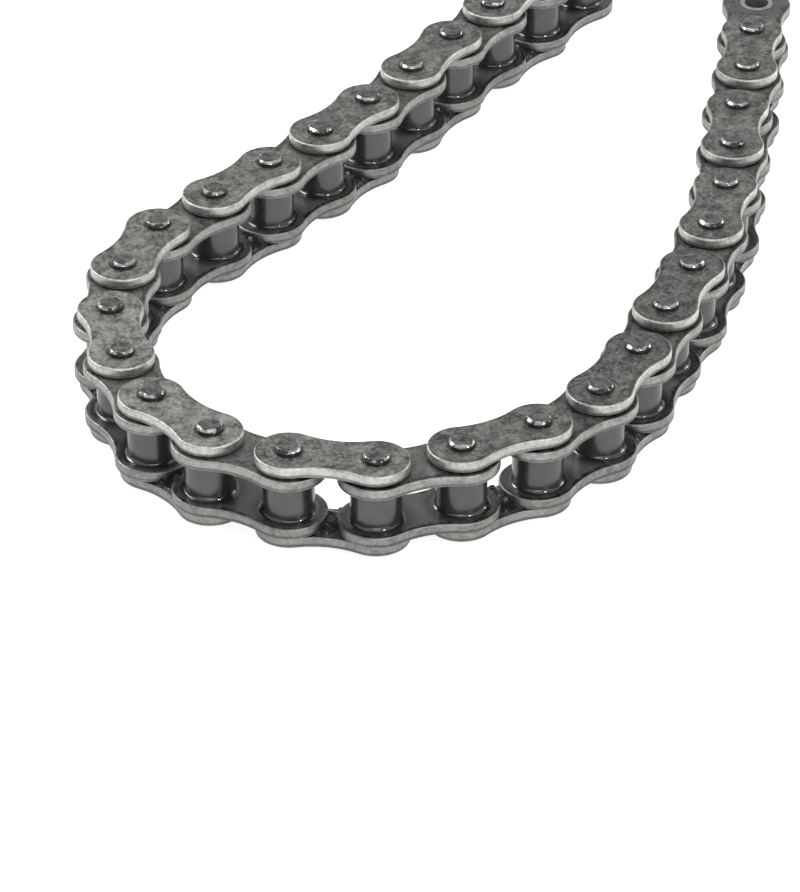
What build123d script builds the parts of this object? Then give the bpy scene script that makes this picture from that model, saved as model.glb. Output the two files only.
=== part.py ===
"""A length of plain roller chain for a motorcycle, lying on its side in a loose bight.

Inner links are two plates pressed on two bushes, with a roller free on each bush. Outer links are two
plates pressed on two pins. Each pin turns in a bush of the next inner link, so every pivot is a hinge.
Both ends of the strand are inner links, whose last bush is empty, ready for a joining link.
The pins stand along +Z with their lower ends on Z = 0, and the strand's box is centred on X and Y.
"""

from build123d import *
import math
import os

# The chain's own series sizes, in millimetres
pitch = 15.875
inner_width = 7.94
roller_diameter = 9.4

# Plates: two heights of plate with the same waisted outline, one thickness for both
plate_thickness = 2.1
plate_end_gap = 1.75
outer_plate_step = 1.7
waist_inset = 1.4

# Walls of the two sleeves round each pin
roller_wall = 1.2
bush_wall = 1.0

# What stands proud: the pin past its outer plates, the bush past its inner plates
pin_stand = 1.1
pin_bevel = 0.35
bush_stand = 0.1

# Running clearances: radial for the turning fits, along the pin for the rest
pin_clearance = 0.05
roller_clearance = 0.06
side_clearance = 0.25
roller_side_clearance = 0.15

# How the strand lies: the heading of its first link and the turn at each pivot, in whole degrees
first_heading = -126
bends = (
    -1, 4, 2, -2, -3, -2, -3,
    0, 19, 16, 16, 13, 20, 21,
    16, 27, 12, 15, 18, 7, 0,
    5, 3, 5, 1, -3, 3, 0,
)  # fmt: skip

# Fits, worked from the roller inwards
roller_bore = roller_diameter - 2 * roller_wall
bush_diameter = roller_bore - 2 * roller_clearance
bush_bore = bush_diameter - 2 * bush_wall
pin_diameter = bush_bore - 2 * pin_clearance

# Plate heights: neighbouring inner plates lie in one plane, a pitch apart, and must pass each other
inner_plate_height = pitch - plate_end_gap
outer_plate_height = inner_plate_height - outer_plate_step

# Levels of the stack along the pin, from its lower end upwards
lower_outer_plate = pin_stand
lower_inner_plate = lower_outer_plate + plate_thickness + side_clearance
lower_bush_end = lower_inner_plate - bush_stand
tooth_space = lower_inner_plate + plate_thickness
upper_inner_plate = tooth_space + inner_width
upper_outer_plate = upper_inner_plate + plate_thickness + side_clearance
pin_length = upper_outer_plate + plate_thickness + pin_stand
bush_length = inner_width + 2 * (plate_thickness + bush_stand)
roller_length = inner_width - 2 * roller_side_clearance


def plate_outline(height):
    """A link plate's face: two round ends on the pivots, joined by concave flanks tangent to both."""
    end_radius = height / 2
    waist = end_radius - waist_inset
    half_pitch = pitch / 2
    flank_radius = (half_pitch**2 + waist**2 - end_radius**2) / (2 * waist_inset)
    flank_centre = waist + flank_radius
    # the flank's circle meets the end's circle on the line between their centres
    share = end_radius / (end_radius + flank_radius)
    left = half_pitch * share
    right = pitch - left
    side = flank_centre * share
    return make_face(
        [
            ThreePointArc((left, side), (-end_radius, 0), (left, -side)),
            ThreePointArc((left, -side), (half_pitch, -waist), (right, -side)),
            ThreePointArc((right, -side), (pitch + end_radius, 0), (right, side)),
            ThreePointArc((right, side), (half_pitch, waist), (left, side)),
        ]
    )


def link_plate(height, hole_diameter, level, label):
    """A blanked plate with both pivot holes, its first pivot on the Z axis."""
    outline = plate_outline(height)
    for x in (0, pitch):
        outline -= Pos(x, 0) * Circle(hole_diameter / 2)
    plate = Pos(0, 0, level) * extrude(outline, plate_thickness)
    plate.label = label
    return plate


def sleeve(diameter, bore, length, level, label):
    """A tube round the Z axis: the body of a bush or a roller."""
    tube = extrude(Circle(diameter / 2) - Circle(bore / 2), length)
    tube = Pos(0, 0, level) * tube
    tube.label = label
    return tube


def make_pin(label):
    """A plain round pin, pressed flush into both outer plates and bevelled where it stands out of them."""
    pin = Cylinder(pin_diameter / 2, pin_length, align=(Align.CENTER, Align.CENTER, Align.MIN))
    pin = chamfer(pin.edges().filter_by(GeomType.CIRCLE), pin_bevel)
    pin.label = label
    return pin


def make_bush(label):
    """The bearing that the pin turns in, pressed into both inner plates."""
    return sleeve(bush_diameter, bush_bore, bush_length, lower_bush_end, label)


def make_roller(label):
    """The roller that meets the sprocket, free on its bush between the inner plates."""
    level = tooth_space + roller_side_clearance
    return sleeve(roller_diameter, roller_bore, roller_length, level, label)


def outer_link():
    """Two outer plates and their two pins, with the first pin on the Z axis and the second along X."""
    return [
        link_plate(outer_plate_height, pin_diameter, lower_outer_plate, "lower_plate"),
        link_plate(outer_plate_height, pin_diameter, upper_outer_plate, "upper_plate"),
        make_pin("first_pin"),
        Pos(pitch, 0) * make_pin("second_pin"),
    ]


def inner_link():
    """Two inner plates and their two bushes, placed like an outer link."""
    return [
        link_plate(inner_plate_height, bush_diameter, lower_inner_plate, "lower_plate"),
        link_plate(inner_plate_height, bush_diameter, upper_inner_plate, "upper_plate"),
        make_bush("first_bush"),
        Pos(pitch, 0) * make_bush("second_bush"),
    ]


def lay_route():
    """Each link's heading, and the pivots that the links join, centred on their box."""
    headings = [first_heading]
    for bend in bends:
        headings.append(headings[-1] + bend)
    pivots = [(0.0, 0.0)]
    for heading in headings:
        x, y = pivots[-1]
        angle = math.radians(heading)
        pivots.append((x + pitch * math.cos(angle), y + pitch * math.sin(angle)))
    middle_x = (min(x for x, _ in pivots) + max(x for x, _ in pivots)) / 2
    middle_y = (min(y for _, y in pivots) + max(y for _, y in pivots)) / 2
    return headings, [(x - middle_x, y - middle_y) for x, y in pivots]


def write_node(name, solids, place):
    """One STEP file for one rigid group, moved from its own frame to its place in the strand."""
    export_step(Compound(label=name, children=[place * solid for solid in solids]), f"parts/{name}.step")


os.makedirs("parts", exist_ok=True)
headings, pivots = lay_route()

# Links alternate, with an inner link first and last
link_kinds = (("inner_link", inner_link()), ("outer_link", outer_link()))
for number, heading in enumerate(headings):
    kind, solids = link_kinds[number % 2]
    place = Pos(*pivots[number]) * Rot(0, 0, heading)
    write_node(f"{kind}_{number // 2 + 1:02d}", solids, place)

# One roller to every pivot, the empty end bushes included
for number, pivot in enumerate(pivots):
    write_node(f"roller_{number + 1:02d}", [make_roller("roller")], Pos(*pivot))
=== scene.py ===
"""A length of used motorcycle roller chain, lying on its side in a loose bight on a white table.

All sizes are metres in the frame's own axes. The finishes work in millimetres on each piece's own shape.
"""

import math

import bmesh
import bpy
from mathutils import Matrix, Vector, noise


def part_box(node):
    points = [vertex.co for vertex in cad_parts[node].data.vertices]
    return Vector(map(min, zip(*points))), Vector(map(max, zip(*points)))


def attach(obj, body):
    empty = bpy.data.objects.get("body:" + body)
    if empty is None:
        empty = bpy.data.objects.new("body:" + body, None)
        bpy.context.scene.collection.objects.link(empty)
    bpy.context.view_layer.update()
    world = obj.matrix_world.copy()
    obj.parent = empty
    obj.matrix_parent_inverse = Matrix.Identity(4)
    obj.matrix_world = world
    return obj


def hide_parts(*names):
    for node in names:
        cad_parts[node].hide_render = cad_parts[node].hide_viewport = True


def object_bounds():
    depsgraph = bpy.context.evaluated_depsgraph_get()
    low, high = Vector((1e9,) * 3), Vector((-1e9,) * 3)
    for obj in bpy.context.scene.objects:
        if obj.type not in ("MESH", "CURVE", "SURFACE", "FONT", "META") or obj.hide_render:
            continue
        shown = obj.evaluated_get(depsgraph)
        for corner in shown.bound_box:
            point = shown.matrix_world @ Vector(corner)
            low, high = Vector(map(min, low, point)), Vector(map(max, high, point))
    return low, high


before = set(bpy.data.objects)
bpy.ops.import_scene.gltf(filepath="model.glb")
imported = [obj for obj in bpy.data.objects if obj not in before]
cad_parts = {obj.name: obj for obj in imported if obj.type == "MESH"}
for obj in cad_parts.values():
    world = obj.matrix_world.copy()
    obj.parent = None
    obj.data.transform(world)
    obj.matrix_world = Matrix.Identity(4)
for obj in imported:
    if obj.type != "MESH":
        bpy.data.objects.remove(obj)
cad_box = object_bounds()
scene = bpy.context.scene
mm = 0.001


# Camera: a long lens well back, in front of the bight, looking down on the chain so that both the tops of
# the plates and the rollers between them show, with the two runs leaving the picture at its top.
lens_length = 201.8
camera_distance = 888.15 * mm
camera_tilt = math.radians(33)
camera_aim = Vector((-9.95, -95.84, 18.87)) * mm

camera_data = bpy.data.cameras.new("camera")
camera_data.lens = lens_length
camera_data.clip_start = 0.05
camera = bpy.data.objects.new("camera", camera_data)
camera.location = camera_aim + camera_distance * Vector((0, -math.cos(camera_tilt), math.sin(camera_tilt)))
camera.rotation_euler = (math.pi / 2 - camera_tilt, 0, 0)
scene.collection.objects.link(camera)
scene.camera = camera


# The strand: a roller stands on every pivot, and inner and outer links join the pivots in turn, an inner
# link first. The frame gives the pivots, and each link's place is its first pivot and its heading.
rollers = sorted(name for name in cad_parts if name.startswith("roller"))
pivots = []
for name in rollers:
    low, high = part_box(name)
    pivots.append(Vector(((low.x + high.x) / 2, (low.y + high.y) / 2, 0)))
pitch = (pivots[1] - pivots[0]).length

inner_links = {}
outer_links = {}
for number, (first, second) in enumerate(zip(pivots, pivots[1:])):
    run = second - first
    place = Matrix.Translation(first) @ Matrix.Rotation(math.atan2(run.y, run.x), 4, "Z")
    kind, links = (("inner_link", inner_links), ("outer_link", outer_links))[number % 2]
    links[f"{kind}_{number // 2 + 1:02d}"] = place


# Link plates: blanked from carbon steel strip, waisted, hardened and tumbled. The punch leaves a rounded
# upper edge and a broken lower third on the flanks. Outer plates are less tall than the inner plates.
plate_thickness = 2.1 * mm
waist_inset = 1.4 * mm
plate_end_gap = 1.75 * mm
outer_plate_step = 1.7 * mm
inner_plate_height = pitch - plate_end_gap
outer_plate_height = inner_plate_height - outer_plate_step
pin_diameter = 4.78 * mm
bush_diameter = 6.88 * mm
edge_round = 0.42 * mm
hole_break = 0.1 * mm

# the lower share of a flank that broke instead of shearing, and the size that it tapers to
broken_share = 0.36
broken_taper = 0.995

pin_length = cad_box[1].z
pin_stand = 1.1 * mm
side_clearance = 0.25 * mm
lower_outer_plate = pin_stand
lower_inner_plate = lower_outer_plate + plate_thickness + side_clearance
upper_outer_plate = pin_length - pin_stand - plate_thickness
upper_inner_plate = upper_outer_plate - side_clearance - plate_thickness

end_steps = 40
flank_steps = 12
hole_sides = 48


def activate(piece):
    """Leaves only this piece selected and active."""
    bpy.ops.object.select_all(action="DESELECT")
    piece.select_set(True)
    bpy.context.view_layer.objects.active = piece


def apply_modifier(piece, kind, **settings):
    """Adds a modifier, sets it up and applies it."""
    activate(piece)
    modifier = piece.modifiers.new(kind, kind)
    for name, value in settings.items():
        setattr(modifier, name, value)
    bpy.ops.object.modifier_apply(modifier=modifier.name)


def bevel_edges(piece, wanted, width, segments):
    """Rounds or chamfers the edges for which wanted(first corner, second corner) holds."""
    activate(piece)
    bpy.ops.object.mode_set(mode="EDIT")
    bpy.ops.mesh.select_mode(type="EDGE")
    bpy.ops.mesh.select_all(action="DESELECT")
    shape = bmesh.from_edit_mesh(piece.data)
    for edge in shape.edges:
        edge.select_set(wanted(edge.verts[0].co, edge.verts[1].co))
    bmesh.update_edit_mesh(piece.data)
    bpy.ops.mesh.bevel(offset=width, segments=segments)
    bpy.ops.object.mode_set(mode="OBJECT")


def smooth(piece, angle=40):
    """Shades the piece smooth, with its large flat faces kept flat up to their edges."""
    activate(piece)
    bpy.ops.object.shade_smooth_by_angle(angle=math.radians(angle))
    apply_modifier(piece, "WEIGHTED_NORMAL", keep_sharp=True, weight=100)


def keep_own_place(piece):
    """Stores every point's place on its own piece, in millimetres, for the finishes to read."""
    own = piece.data.attributes.new("own_place", "FLOAT_VECTOR", "POINT")
    for spot, vertex in zip(own.data, piece.data.vertices):
        spot.vector = vertex.co / mm


def lay_copy(pattern, name, place, node, slot, seed, painted_shade):
    """Copies a finished pattern to its place as a piece that rides with a frame node.

    With a material slot the piece also stands for the node, and without one it only lies on it.
    """
    mesh = pattern.data.copy()
    mesh.transform(place)
    # each piece carries its seed, and the painted shade that darkens plate tops away from the bight's left
    # corner
    for label, value in (("seed", seed), ("painted_shade", painted_shade)):
        values = mesh.attributes.new(label, "FLOAT", "POINT")
        values.data.foreach_set("value", [value] * len(mesh.vertices))
    piece = bpy.data.objects.new(name, mesh)
    scene.collection.objects.link(piece)
    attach(piece, node)
    if slot:
        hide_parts(node)
    return piece


# painted shade across the bight: plate tops are painted lightest round the first corner and darkest round
# the second
lightened_corner, lightened_reach = Vector((-52, -68)) * mm, 45 * mm
darkened_corner, darkened_reach = Vector((28, -62)) * mm, 60 * mm


def painted_shade_at(place):
    """How much painted shade a piece takes: least at the bight's left corner, whose plate tops are painted
    lightest, and most at its right, whose tops are painted darkest.
    """
    here = place.translation.xy
    lightened = math.exp(-(((here - lightened_corner).length / lightened_reach) ** 2))
    darkened = math.exp(-(((here - darkened_corner).length / darkened_reach) ** 2))
    return 0.8 - 0.45 * lightened + 0.35 * darkened


class Outline:
    """The waisted outline of a plate: two round ends on the pivots, and concave flanks tangent to both."""

    def __init__(self, height):
        self.end_radius = height / 2
        self.half_waist = self.end_radius - waist_inset
        half = pitch / 2
        self.flank_radius = (half**2 + self.half_waist**2 - self.end_radius**2) / (2 * waist_inset)
        self.flank_centre = self.half_waist + self.flank_radius
        share = self.end_radius / (self.end_radius + self.flank_radius)
        self.tangent_x = half * share
        self.tangent_y = self.flank_centre * share


def spin_edge(steps, angle, centre):
    """Draws an arc from the selected point, turning it anticlockwise about a centre."""
    bpy.ops.mesh.spin(steps=steps, angle=angle, center=centre, axis=(0, 0, -1))


def model_plate(name, outline, hole_diameter):
    """One plate at the origin, its first pivot on the Z axis and its second along X."""
    x, y = outline.tangent_x, outline.tangent_y
    bpy.ops.object.select_all(action="DESELECT")
    bpy.ops.mesh.primitive_plane_add(size=mm, location=(x, y, 0))
    plate = bpy.context.object
    plate.name = name
    bpy.ops.object.transform_apply(location=True)
    bpy.ops.object.mode_set(mode="EDIT")
    bpy.ops.mesh.select_mode(type="VERT")
    bpy.ops.mesh.select_all(action="SELECT")
    bpy.ops.mesh.merge(type="CENTER")
    end_sweep = 2 * (math.pi - math.atan2(y, x))
    flank_sweep = -2 * math.asin((pitch / 2 - x) / outline.flank_radius)
    spin_edge(end_steps, end_sweep, (0, 0, 0))
    spin_edge(flank_steps, flank_sweep, (pitch / 2, -outline.flank_centre, 0))
    spin_edge(end_steps, end_sweep, (pitch, 0, 0))
    spin_edge(flank_steps, flank_sweep, (pitch / 2, outline.flank_centre, 0))
    bpy.ops.mesh.select_all(action="SELECT")
    bpy.ops.mesh.remove_doubles(threshold=0.002 * mm)
    bpy.ops.mesh.edge_face_add()

    # the broken lower part of the flanks tapers in a little, and the sheared upper part is upright
    middle = (pitch / 2, 0, 0)
    rise = {"value": (0, 0, broken_share * plate_thickness)}
    bpy.ops.transform.resize(value=(broken_taper, broken_taper, 1), center_override=middle)
    bpy.ops.mesh.extrude_region_move(TRANSFORM_OT_translate=rise)
    bpy.ops.transform.resize(value=(1 / broken_taper, 1 / broken_taper, 1), center_override=middle)
    rise = {"value": (0, 0, (1 - broken_share) * plate_thickness)}
    bpy.ops.mesh.extrude_region_move(TRANSFORM_OT_translate=rise)
    bpy.ops.mesh.select_all(action="SELECT")
    bpy.ops.mesh.normals_make_consistent(inside=False)
    bpy.ops.object.mode_set(mode="OBJECT")

    near = 0.01 * mm
    top = plate_thickness - near
    bevel_edges(plate, lambda a, b: a.z > top and b.z > top, edge_round, 4)
    bevel_edges(plate, lambda a, b: a.z < near and b.z < near, edge_round / 2, 2)

    for pivot_x in (0, pitch):
        bpy.ops.object.select_all(action="DESELECT")
        bpy.ops.mesh.primitive_cylinder_add(
            vertices=hole_sides,
            radius=hole_diameter / 2,
            depth=3 * plate_thickness,
            location=(pivot_x, 0, plate_thickness / 2),
        )
        punch = bpy.context.object
        apply_modifier(plate, "BOOLEAN", operation="DIFFERENCE", solver="EXACT", object=punch)
        bpy.data.objects.remove(punch)

    def on_hole(a, b):
        """True for an edge of a pivot hole's rim."""
        level = abs(a.z - b.z) < near and (a.z < near or a.z > top)
        reach = [min(math.hypot(v.x - p, v.y) for p in (0, pitch)) for v in (a, b)]
        return level and max(reach) < hole_diameter / 2 + near

    bevel_edges(plate, on_hole, hole_break, 2)
    smooth(plate)
    keep_own_place(plate)
    return plate


class Wire:
    """A value in a material. Operators between wires and numbers add the Math nodes that they need."""

    def __init__(self, tree, socket=None):
        self.tree = tree
        self.socket = socket

    def node(self, kind, settings=None, sockets=None, output=0):
        """Adds a node: its settings first, then the values or links of its sockets. Gives one output."""
        made = self.tree.nodes.new(kind)
        for name, value in (settings or {}).items():
            setattr(made, name, value)
        for key, value in (sockets or {}).items():
            if isinstance(value, Wire):
                self.tree.links.new(value.socket, made.inputs[key])
            else:
                made.inputs[key].default_value = value
        return Wire(self.tree, made.outputs[output])

    def maths(self, operation, first, second=0.0):
        return self.node("ShaderNodeMath", {"operation": operation}, {0: first, 1: second})

    def __add__(self, other):
        return self.maths("ADD", self, other)

    def __sub__(self, other):
        return self.maths("SUBTRACT", self, other)

    def __mul__(self, other):
        return self.maths("MULTIPLY", self, other)

    def __rsub__(self, other):
        return self.maths("SUBTRACT", other, self)

    def __pow__(self, other):
        return self.maths("POWER", self, other)

    def __abs__(self):
        return self.maths("ABSOLUTE", self)

    def __lt__(self, other):
        return self.maths("LESS_THAN", self, other)

    __radd__ = __add__
    __rmul__ = __mul__

    def ramp(self, low, high):
        """0 below low and 1 above high, with a soft step between them."""
        settings = {"interpolation_type": "SMOOTHSTEP"}
        return self.node("ShaderNodeMapRange", settings, {0: self, 1: low, 2: high})

    def axes(self):
        """The three numbers of a vector."""
        split = self.node("ShaderNodeSeparateXYZ", None, {0: self}).socket.node
        return [Wire(self.tree, socket) for socket in split.outputs]

    def moved(self, offset):
        """A vector moved by another."""
        return self.node("ShaderNodeVectorMath", {"operation": "ADD"}, {0: self, 1: offset})

    def turned(self, degrees, scale):
        """A pattern's vector turned about Z, then stretched along its own axes."""
        turn = (0, 0, math.radians(degrees))
        turned = self.node("ShaderNodeMapping", None, {"Vector": self, "Rotation": turn})
        return self.node("ShaderNodeVectorMath", {"operation": "MULTIPLY"}, {0: turned, 1: scale})

    def noise(self, size, detail=2.0, roughness=0.5):
        """Cloudy noise from 0 to 1 whose patches are about so many millimetres across."""
        sockets = {"Vector": self, "Scale": 1 / size, "Detail": detail, "Roughness": roughness}
        return self.node("ShaderNodeTexNoise", None, sockets)

    def lines(self, size, width, detail=1.0):
        """Thin winding lines, 1 on the line and 0 beside it, that wander over so many millimetres."""
        return 1 - abs(self.noise(size, detail, 0.4) - 0.5).ramp(0.0, width)

    def specks(self, spacing, size):
        """Scattered dots, 1 in the middle of each: their spacing in millimetres, their size as a share."""
        cells = {"Vector": self, "Scale": 1 / spacing, "Randomness": 1.0}
        return 1 - self.node("ShaderNodeTexVoronoi", None, cells).ramp(size / 2, size)

    def mix(self, first, second):
        """One colour or another, this wire saying how much of the second."""
        return self.node("ShaderNodeMix", {"data_type": "RGBA"}, {0: self, 6: first, 7: second}, 2)

    def finish(self, height, depth, **sockets):
        """Feeds the material's shader. A height of 1 stands so many millimetres out of the surface."""
        shader = self.tree.nodes["Principled BSDF"]
        bump = self.node("ShaderNodeBump", None, {"Distance": depth * mm, "Height": height})
        self.tree.links.new(bump.socket, shader.inputs["Normal"])
        for name, value in sockets.items():
            socket = shader.inputs[name.replace("_", " ")]
            if isinstance(value, Wire):
                self.tree.links.new(value.socket, socket)
            else:
                socket.default_value = value


def start_material(name):
    """A new material, with wires for each point's place on its piece, a pattern's vector, seed and painted
    shade.
    """
    material = bpy.data.materials.new(name)
    material.use_nodes = True
    wire = Wire(material.node_tree)
    own = wire.node("ShaderNodeAttribute", {"attribute_name": "own_place"}, None, 1)
    seed = wire.node("ShaderNodeAttribute", {"attribute_name": "seed"}, None, 2)
    painted_shade = wire.node("ShaderNodeAttribute", {"attribute_name": "painted_shade"}, None, 2)
    offset = wire.node("ShaderNodeCombineXYZ", None, {0: seed * 37.0, 1: seed * 19.0, 2: seed * 11.0})
    return material, own, own.moved(offset), painted_shade


def grey(value, warmth=0.0):
    """A linear grey, a little warm where asked."""
    return (value, value * (1 - 0.5 * warmth), value * (1 - 1.5 * warmth), 1)


def plate_finish(name, outline, hole_diameter, bare, side_grey, worn, film):
    """Tumbled steel with smudges, scratches, pits and a bright worn rim, under a film of black oil.

    bare, side_grey and worn are the greys of the face, of the flanks and of the rim between them, and film
    is how much of the face the oil covers.
    """
    material, own, pattern, painted_shade = start_material(name)
    x, y, z = own.axes()
    half = pitch / 2 / mm

    # how far a point lies from the pivots and, inside the outline, from its rim
    beyond = abs(x - half) - half
    from_pivot = (beyond * beyond + y * y) ** 0.5
    to_end = outline.end_radius / mm - from_pivot
    side = abs(y) - outline.flank_centre / mm
    to_flank = ((x - half) * (x - half) + side * side) ** 0.5 - outline.flank_radius / mm
    in_waist = beyond < -outline.tangent_x / mm
    to_rim = to_end + in_waist * (to_flank - to_end)
    to_hole = from_pivot - hole_diameter / 2 / mm

    smudges = pattern.noise(2.6, 3.0, 0.6)
    blotches = pattern.noise(0.8, 2.0, 0.65)
    grain = pattern.noise(0.16, 2.0, 0.7)
    drawn = pattern.turned(0, (0.2, 0.2, 2.4)).noise(0.5, 3.0, 0.7)

    # stains creep in winding lines, scratches are straight, and the links' turning rubs arcs round the holes
    stains = pattern.lines(1.6, 0.035, 2.0) * smudges.ramp(0.62, 0.4)
    scratches = pattern.turned(31, (0.08, 1.6, 1.0)).noise(0.6, 1.0).ramp(0.63, 0.68)
    scratches = scratches + pattern.turned(-64, (0.1, 1.9, 1.0)).noise(0.6, 1.0).ramp(0.65, 0.7)
    scratches = scratches * blotches.ramp(0.4, 0.6)
    turning = y.maths("ARCTAN2", y, abs(x - half) - half)
    ring = {0: from_pivot * 3.0, 1: turning * 1.3, 2: from_pivot}
    round_hole = pattern.node("ShaderNodeCombineXYZ", None, ring)
    arcs = (round_hole.noise(1.0, 2.0, 0.6) - 0.5) * (1 - to_hole.ramp(1.8, 3.6))
    flecks = pattern.specks(0.5, 0.3) * blotches.ramp(0.46, 0.6)
    pits = pattern.specks(0.9, 0.14) * smudges.ramp(0.6, 0.45)

    on_side = 1 - to_rim.ramp(0.0, 0.1)
    rim = (1 - (to_rim + 0.35 * blotches - 0.17).ramp(0.1, 0.4)) * (1 - on_side)
    inside_rim = to_rim.ramp(0.3, 0.5) * (1 - to_rim.ramp(0.5, 1.2))
    broken = (1 - (z + 0.3 * blotches).ramp(0.75, 0.95)) * on_side

    mottling = 1.5 * (smudges - 0.5) + 1.2 * (blotches - 0.5) + 0.9 * (grain - 0.5)
    # painted shade: the tops are painted darker, and their mottling flatter, where the plate's painted shade
    # is high
    tone = 0.66 - 0.5 * painted_shade + (1.35 - 0.6 * painted_shade) * mottling
    tone = tone + 0.9 * arcs + 0.28 * scratches + 0.4 * flecks
    tone = tone - 0.32 * stains - 0.35 * pits - 0.12 * inside_rim
    colour = tone.ramp(-0.4, 1.1).mix(grey(bare * 0.12, 0.03), grey(bare, 0.05))
    flank = 0.6 + 0.7 * (drawn - 0.5) + 1.1 * (smudges - 0.5) + 1.0 * (blotches - 0.5) + 1.2 * (grain - 0.5)
    flank = flank - 0.75 * broken
    flank_colour = flank.ramp(0.0, 1.0).mix(grey(side_grey * 0.6, 0.02), grey(side_grey * 1.4, 0.04))
    colour = on_side.mix(colour, flank_colour)
    shine = (0.5 + 1.4 * (blotches - 0.5) + 1.2 * (smudges - 0.5)).ramp(0.1, 0.8)
    colour = (rim * 0.9).mix(colour, shine.mix(grey(worn * 0.5, 0.03), grey(worn, 0.03)))

    # the film thins out at the rim and mid-span, and gathers round the hole
    dry_edge = 1 - (to_rim + 1.2 * (blotches - 0.5)).ramp(0.5, 1.5)
    wet = film + 0.8 * (smudges - 0.5) + 0.3 * (blotches - 0.5) - 0.5 * dry_edge - 0.9 * rim - 0.8 * on_side
    wet = wet.ramp(0.25, 0.75)
    foot = (1 - (to_hole + 0.9 * (blotches - 0.5)).ramp(0.2, 0.7)) * (1 - on_side)
    wet = wet.maths("MAXIMUM", wet, foot)
    deep = 1 - (from_pivot + 2.0 * (blotches - 0.5)).ramp(5.5, 8.0)
    colour = wet.mix(colour, deep.mix(grey(0.082), grey(0.028)))
    height = grain * 0.8 + blotches + smudges - 0.6 * scratches - 2.0 * pits
    pattern.finish(
        height + on_side * (0.4 * drawn + 2.0 * blotches) + 4.0 * rim * blotches,
        0.014,
        Base_Color=colour,
        Metallic=1 - 0.85 * wet,
        Roughness=0.44 + 0.2 * (smudges - 0.5) + 0.06 * rim + 0.12 * broken - 0.22 * wet,
    )
    return material


outer_outline = Outline(outer_plate_height)
inner_outline = Outline(inner_plate_height)
outer_plate = model_plate("outer_plate", outer_outline, pin_diameter)
inner_plate = model_plate("inner_plate", inner_outline, bush_diameter)
upper_outer_finish = plate_finish("outer_plate_top", outer_outline, pin_diameter, 0.35, 0.385, 0.5, 0.0)
lower_outer_finish = plate_finish("outer_plate_low", outer_outline, pin_diameter, 0.26, 0.21, 0.28, 0.8)
upper_inner_finish = plate_finish("inner_plate_top", inner_outline, bush_diameter, 0.235, 0.25, 0.33, 0.5)
lower_inner_finish = plate_finish("inner_plate_low", inner_outline, bush_diameter, 0.235, 0.19, 0.27, 0.8)

for links, pattern_plate, slot, stack in (
    (
        outer_links,
        outer_plate,
        "outer_link_steel",
        (("lower", lower_outer_plate, lower_outer_finish), ("upper", upper_outer_plate, upper_outer_finish)),
    ),
    (
        inner_links,
        inner_plate,
        "inner_link_steel",
        (("lower", lower_inner_plate, lower_inner_finish), ("upper", upper_inner_plate, upper_inner_finish)),
    ),
):
    for number, (node, place) in enumerate(links.items()):
        for label, level, finish in stack:
            spot = place @ Matrix.Translation((0, 0, level))
            seed = number + (0.5 if label == "upper" else 0.0)
            painted_shade = painted_shade_at(place @ Matrix.Translation((pitch / 2, 0, 0)))
            plate = lay_copy(pattern_plate, f"{node}_{label}_plate", spot, node, slot, seed, painted_shade)
            plate.data.materials.clear()
            plate.data.materials.append(finish)
    bpy.data.objects.remove(pattern_plate)


# Pins: ground bearing steel, pressed through the outer plates and standing out of them at both ends, each
# end chamfered. The flat ends are dull and dark. Their chamfers are polished by handling, and knocks have
# made the upper ones uneven.
pin_bevel = 0.35 * mm
pin_wear = 0.3 * mm
pin_patterns = 6
pin_edge_round = 0.07 * mm
pin_sides = 64


def turned_blank(name, diameter, length, sides):
    """A round bar standing on the origin."""
    bpy.ops.object.select_all(action="DESELECT")
    bpy.ops.mesh.primitive_cylinder_add(
        vertices=sides, radius=diameter / 2, depth=length, location=(0, 0, length / 2)
    )
    bar = bpy.context.object
    bar.name = name
    bpy.ops.object.transform_apply(location=True)
    return bar


def round_edges(piece, width, segments):
    """Breaks every ring edge of a turned piece, which lies level."""
    bevel_edges(piece, lambda a, b: abs(a.z - b.z) < 0.001 * mm, width, segments)


def pin_finish():
    """Dark, fine-ground ends with a polished chamfer."""
    material, own, pattern, painted_shade = start_material("pin_steel")
    z = own.axes()[2]
    smudges = pattern.noise(1.3, 3.0, 0.6)
    blotches = pattern.noise(0.5, 2.0, 0.6)
    from_middle = abs(z - pin_length / 2 / mm) + 0.06 * (blotches - 0.5)
    flat = from_middle.ramp(pin_length / 2 / mm - 0.06, pin_length / 2 / mm - 0.03)
    grain = pattern.noise(0.12, 2.0, 0.7)
    tone = 0.5 + 2.0 * (smudges - 0.5) + 1.2 * (blotches - 0.5) + 0.8 * (grain - 0.5)
    colour = tone.ramp(0.0, 1.0).mix(grey(0.05, 0.02), grey(0.21, 0.03))
    worn = (0.6 + 1.6 * (smudges - 0.5) + 0.5 * (blotches - 0.5)).ramp(0.25, 0.6)
    colour = flat.mix(worn.mix(grey(0.13, 0.02), grey(0.42, 0.02)), colour)
    smeared = pattern.noise(2.2, 1.0, 0.4).ramp(0.52, 0.58) * (1 - flat)
    foot = 1 - (z + 0.4 * (blotches - 0.5)).ramp(pin_length / mm - 0.5, pin_length / mm - 0.33)
    wet = foot.maths("MAXIMUM", foot, smeared)
    colour = wet.mix(colour, grey(0.012))
    pattern.finish(
        grain * 0.6 + smudges * 2.0,
        0.006,
        Base_Color=colour,
        Metallic=1 - wet,
        Roughness=0.18 + 0.14 * flat + 0.2 * (smudges - 0.5),
    )
    return material


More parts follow.
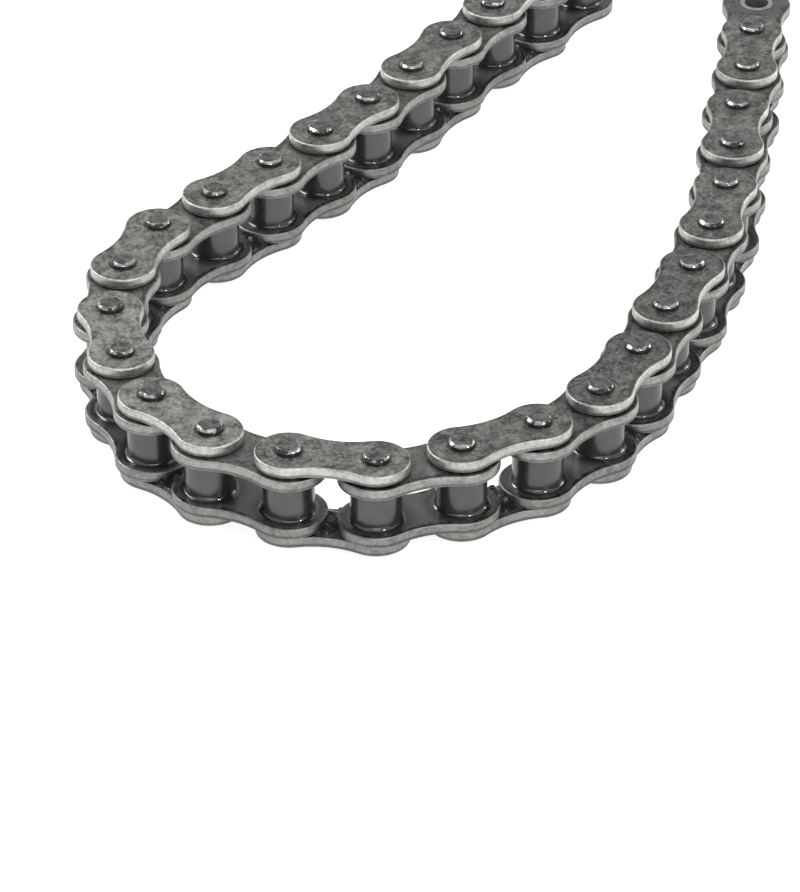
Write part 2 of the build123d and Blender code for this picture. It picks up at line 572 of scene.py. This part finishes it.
def model_pin(number):
    """A pin that stands on the origin, its upper chamfer worn wider in some places than in others."""
    pin = turned_blank("pin", pin_diameter, pin_length, pin_sides)
    round_edges(pin, pin_bevel, 1)
    round_edges(pin, pin_edge_round, 2)
    for vertex in pin.data.vertices:
        if vertex.co.z > pin_length - 2 * pin_bevel:
            radius = vertex.co.xy.length
            inwards = min((pin_diameter / 2 - radius) / pin_bevel, 1)
            lump = noise.noise(Vector((vertex.co.x / radius, vertex.co.y / radius, number * 3.7)) * 1.7)
            wear = pin_wear * min(max(0.4 + 1.2 * lump, 0), 1)
            size = 1 - wear * inwards / radius
            vertex.co = (vertex.co.x * size, vertex.co.y * size, vertex.co.z - wear * (1 - inwards))
    smooth(pin)
    keep_own_place(pin)
    return pin


pins = [model_pin(number) for number in range(pin_patterns)]
pin_steel = pin_finish()
for pin in pins:
    pin.data.materials.append(pin_steel)
for number, (node, place) in enumerate(outer_links.items()):
    for end, label in enumerate(("first", "second")):
        spot = place @ Matrix.Translation((end * pitch, 0, 0))
        seed = number + end / 2
        pin = pins[(2 * number + end) % pin_patterns]
        turned = spot @ Matrix.Rotation(seed * 4.1, 4, "Z")
        lay_copy(pin, f"{node}_{label}_pin", turned, node, "outer_link_steel", seed, painted_shade_at(spot))
for pin in pins:
    bpy.data.objects.remove(pin)


# Bushes: rolled steel sleeves pressed into the inner plates, which the pins turn in and the rollers run on.
# Only their ends and the last one at each end of the strand show.
bush_stand = 0.1 * mm
bush_bore = 4.88 * mm
bush_edge_round = 0.12 * mm
lower_bush_end = lower_inner_plate - bush_stand
bush_length = upper_inner_plate + plate_thickness + bush_stand - lower_bush_end


def bored(piece, bore, length):
    """Drills a turned blank through."""
    drill = turned_blank("drill", bore, length * 2, pin_sides)
    drill.location.z = -length / 2
    apply_modifier(piece, "BOOLEAN", operation="DIFFERENCE", solver="EXACT", object=drill)
    bpy.data.objects.remove(drill)


def sleeve_finish(name, dark, light, gloss):
    """Turned and hardened steel, with faint rings round it and oil towards its lower end."""
    material, own, pattern, painted_shade = start_material(name)
    z = own.axes()[2]
    smudges = pattern.noise(2.4, 3.0, 0.6)
    grain = pattern.turned(0, (1.0, 1.0, 0.25)).noise(0.4, 2.0, 0.6)
    rings = pattern.turned(0, (0.05, 0.05, 5.0)).noise(0.5, 2.0, 0.7)
    tone = 0.5 + 1.0 * (smudges - 0.5) + 0.4 * (rings - 0.5) + 0.5 * (grain - 0.5)
    colour = tone.ramp(0.0, 1.0).mix(grey(dark), grey(light))
    wet = 1 - (z + 1.2 * smudges).ramp(0.7, 1.6)
    colour = wet.mix(colour, grey(0.02))
    pattern.finish(
        rings + smudges * 2.0,
        0.004,
        Base_Color=colour,
        Metallic=0.8 - 0.6 * wet,
        Roughness=gloss + 0.12 * (smudges - 0.5) - 0.1 * wet,
    )
    return material


bush = turned_blank("bush", bush_diameter, bush_length, pin_sides)
bored(bush, bush_bore, bush_length)
round_edges(bush, bush_edge_round, 2)
smooth(bush)
keep_own_place(bush)
bush.data.materials.append(sleeve_finish("bush_steel", 0.2, 0.34, 0.3))
for number, (node, place) in enumerate(inner_links.items()):
    for label, along in (("first", 0), ("second", pitch)):
        spot = place @ Matrix.Translation((along, 0, lower_bush_end))
        seed = number + along / pitch / 2
        lay_copy(bush, f"{node}_{label}_bush", spot, node, "inner_link_steel", seed, painted_shade_at(spot))
bpy.data.objects.remove(bush)


# Rollers: seamless hardened sleeves, free on the bushes between the inner plates, dark and glossy under
# their oil, with rounded ends.
roller_low, roller_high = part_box(rollers[0])
roller_diameter = roller_high.x - roller_low.x
roller_length = roller_high.z - roller_low.z
roller_bore = 7.0 * mm
roller_edge_round = 0.25 * mm

roller = turned_blank("roller", roller_diameter, roller_length, pin_sides)
bored(roller, roller_bore, roller_length)
round_edges(roller, roller_edge_round, 3)
smooth(roller)
keep_own_place(roller)
roller.data.materials.append(sleeve_finish("roller_steel", 0.075, 0.1, 0.22))
for number, (node, pivot) in enumerate(zip(rollers, pivots)):
    spot = Matrix.Translation(pivot + Vector((0, 0, roller_low.z)))
    lay_copy(roller, f"{node}_sleeve", spot, node, "roller_steel", number + 0.3, painted_shade_at(spot))
bpy.data.objects.remove(roller)


# Oil: old black chain oil, drawn up round the foot of every roller by its surface tension, so that it shines
# there in a thin ring. It lies on the lower inner plate and goes with it.
oil_width = 0.8 * mm
oil_height = 0.65 * mm
oil_gap = 0.02 * mm
oil_sides = 72
oil_rings = 6


def oil_finish(name, grit, gloss, mirror):
    """Black oil with a little grit in it, its roughness, and how strongly it mirrors."""
    material, own, pattern, painted_shade = start_material(name)
    specks = pattern.specks(0.4, 0.2) * grit
    lumps = pattern.noise(0.5, 2.0, 0.6)
    pattern.finish(
        lumps + specks,
        0.012,
        Base_Color=specks.mix(grey(0.012), grey(0.1, 0.03)),
        Metallic=0.0,
        Roughness=gloss + 0.3 * specks,
        Specular_IOR_Level=mirror,
    )
    return material


def model_oil_ring():
    """A ring of oil with a hollow outer side, standing on the origin's plane."""
    inner = roller_diameter / 2 + oil_gap
    steps = [math.pi / 2 * n / oil_rings for n in range(1, oil_rings + 1)]
    profile = [(inner + oil_width * (1 - math.sin(t)), oil_height * (1 - math.cos(t))) for t in steps]
    profile += [(inner, 0), (inner + oil_width, 0)]
    bpy.ops.object.select_all(action="DESELECT")
    bpy.ops.mesh.primitive_circle_add(vertices=oil_sides, radius=inner + oil_width)
    ring = bpy.context.object
    bpy.ops.object.mode_set(mode="EDIT")
    bpy.ops.mesh.select_all(action="SELECT")
    radius, height = inner + oil_width, 0
    for next_radius, next_height in profile:
        bpy.ops.mesh.extrude_edges_move(TRANSFORM_OT_translate={"value": (0, 0, next_height - height)})
        size = next_radius / radius
        bpy.ops.transform.resize(value=(size, size, 1), center_override=(0, 0, 0))
        radius, height = next_radius, next_height
    bpy.ops.mesh.select_all(action="SELECT")
    bpy.ops.mesh.remove_doubles(threshold=0.002 * mm)
    bpy.ops.mesh.normals_make_consistent(inside=False)
    bpy.ops.object.mode_set(mode="OBJECT")

    # the ring is uneven: it widens and narrows as it goes round
    for vertex in ring.data.vertices:
        angle = math.atan2(vertex.co.y, vertex.co.x)
        amount = 0.85 + 0.2 * math.sin(2 * angle + 1) + 0.15 * math.sin(5 * angle)
        radius = vertex.co.xy.length
        size = (inner + (radius - inner) * amount) / radius
        vertex.co = (vertex.co.x * size, vertex.co.y * size, vertex.co.z * amount)
    smooth(ring)
    keep_own_place(ring)
    return ring


oil_ring = model_oil_ring()
oil_ring.data.materials.append(oil_finish("chain_oil", 0.0, 0.06, 0.9))
for number, (node, place) in enumerate(inner_links.items()):
    for label, along in (("first", 0), ("second", pitch)):
        spot = place @ Matrix.Translation((along, 0, lower_inner_plate + plate_thickness))
        spot = spot @ Matrix.Rotation(number * 2.1 + along / pitch, 4, "Z")
        lay_copy(oil_ring, f"{node}_{label}_oil", spot, node, None, number + along / pitch / 2, 1.0)
bpy.data.objects.remove(oil_ring)


# Grease: black oil thick with grit, packed into the bow-tie gap that two inner plates leave between them on
# every lower outer plate. It goes with the outer link.
grease_depth = 1.25 * mm
grease_slack = 0.03 * mm
grease_columns = 26
grease_rows = 48

# each drop's place across and along the dab, and its radius, in millimetres
grease_drops = ((0.5, 3.9, 0.8), (-0.9, -4.1, 0.65), (-0.3, 1.6, 0.45), (0.6, -1.9, 0.5), (-1.3, 3.6, 0.4))


def model_grease():
    """A dab with a few drops standing on it, higher at the walls and thinning out at the waist's edges."""
    bpy.ops.object.select_all(action="DESELECT")
    bpy.ops.mesh.primitive_grid_add(x_subdivisions=grease_columns, y_subdivisions=grease_rows, size=2)
    dab = bpy.context.object
    bpy.ops.object.mode_set(mode="EDIT")
    bpy.ops.mesh.select_all(action="SELECT")
    bpy.ops.mesh.extrude_region_move(TRANSFORM_OT_translate={"value": (0, 0, -1)})
    bpy.ops.mesh.select_all(action="SELECT")
    bpy.ops.mesh.normals_make_consistent(inside=False)
    bpy.ops.object.mode_set(mode="OBJECT")
    reach = outer_outline.half_waist - 0.25 * mm
    wall = inner_outline.end_radius + grease_slack
    for vertex in dab.data.vertices:
        across, along, level = vertex.co
        y = along * reach
        gap = pitch / 2 - math.sqrt(wall**2 - y**2)
        x = across * gap
        lump = noise.noise(Vector((x, y, 0)) / mm * 1.1)
        rise = grease_depth * (1 - abs(along) ** 4) * (0.75 + 0.25 * across**2 + 0.25 * lump)
        for drop_x, drop_y, size in grease_drops:
            inside = 1 - ((x / mm - drop_x) ** 2 + (y / mm - drop_y) ** 2) / size**2
            rise += 0.9 * size * mm * math.sqrt(max(inside, 0))
        vertex.co = (pitch / 2 + x, y, rise if level > -0.5 else 0)
    smooth(dab, 60)
    keep_own_place(dab)
    return dab


grease = model_grease()
grease.data.materials.append(oil_finish("grease", 0.35, 0.2, 0.25))
for number, (node, place) in enumerate(outer_links.items()):
    turned = Matrix.Translation((pitch, 0, 0)) @ Matrix.Rotation(math.pi, 4, "Z") if number % 2 else Matrix()
    spot = place @ Matrix.Translation((0, 0, lower_outer_plate + plate_thickness)) @ turned
    lay_copy(grease, f"{node}_grease", spot, node, None, number + 0.7, 1.0)
bpy.data.objects.remove(grease)


# Table and light: a table that glows enough to stay white right up to the chain, a bright studio round it,
# a broad soft light overhead, softboxes on the left, on the right and low in front, and a narrow lamp at
# the front right.
bpy.ops.object.select_all(action="DESELECT")
bpy.ops.mesh.primitive_plane_add(size=6)
table = bpy.context.object
table.name = "table"
table_paint = bpy.data.materials.new("table_paint")
table_paint.use_nodes = True
paint = table_paint.node_tree.nodes["Principled BSDF"].inputs
paint["Base Color"].default_value = grey(0.3)
paint["Roughness"].default_value = 0.9
paint["Emission Color"].default_value = grey(1.0)
paint["Emission Strength"].default_value = 0.88
table.data.materials.append(table_paint)

studio = bpy.data.worlds.new("studio")
studio.use_nodes = True
studio.node_tree.nodes["Background"].inputs["Color"].default_value = grey(0.8)
scene.world = studio
scene.view_settings.view_transform = "Standard"

chain_middle = Vector((0, -0.04, 0))


def add_light(name, azimuth, elevation, distance, size, power):
    """A square light aimed at the chain. Azimuth 0 is behind the chain and 90 is on its right."""
    a, e = math.radians(azimuth), math.radians(elevation)
    away = Vector((math.sin(a) * math.cos(e), math.cos(a) * math.cos(e), math.sin(e)))
    data = bpy.data.lights.new(name, "AREA")
    data.size = size
    data.energy = power
    light = bpy.data.objects.new(name, data)
    light.location = chain_middle + away * distance
    light.rotation_euler = away.to_track_quat("Z", "Y").to_euler()
    scene.collection.objects.link(light)


add_light("overhead", 20, 85, 1.2, 1.2, 6)
add_light("left_softbox", -65, 38, 0.45, 0.2, 1.15)
add_light("right_softbox", 70, 9, 0.6, 0.25, 1.5)
add_light("front_softbox", 180, 12, 1.2, 0.7, 4)
add_light("front_lamp", 140, 40, 1.2, 0.12, 5.5)
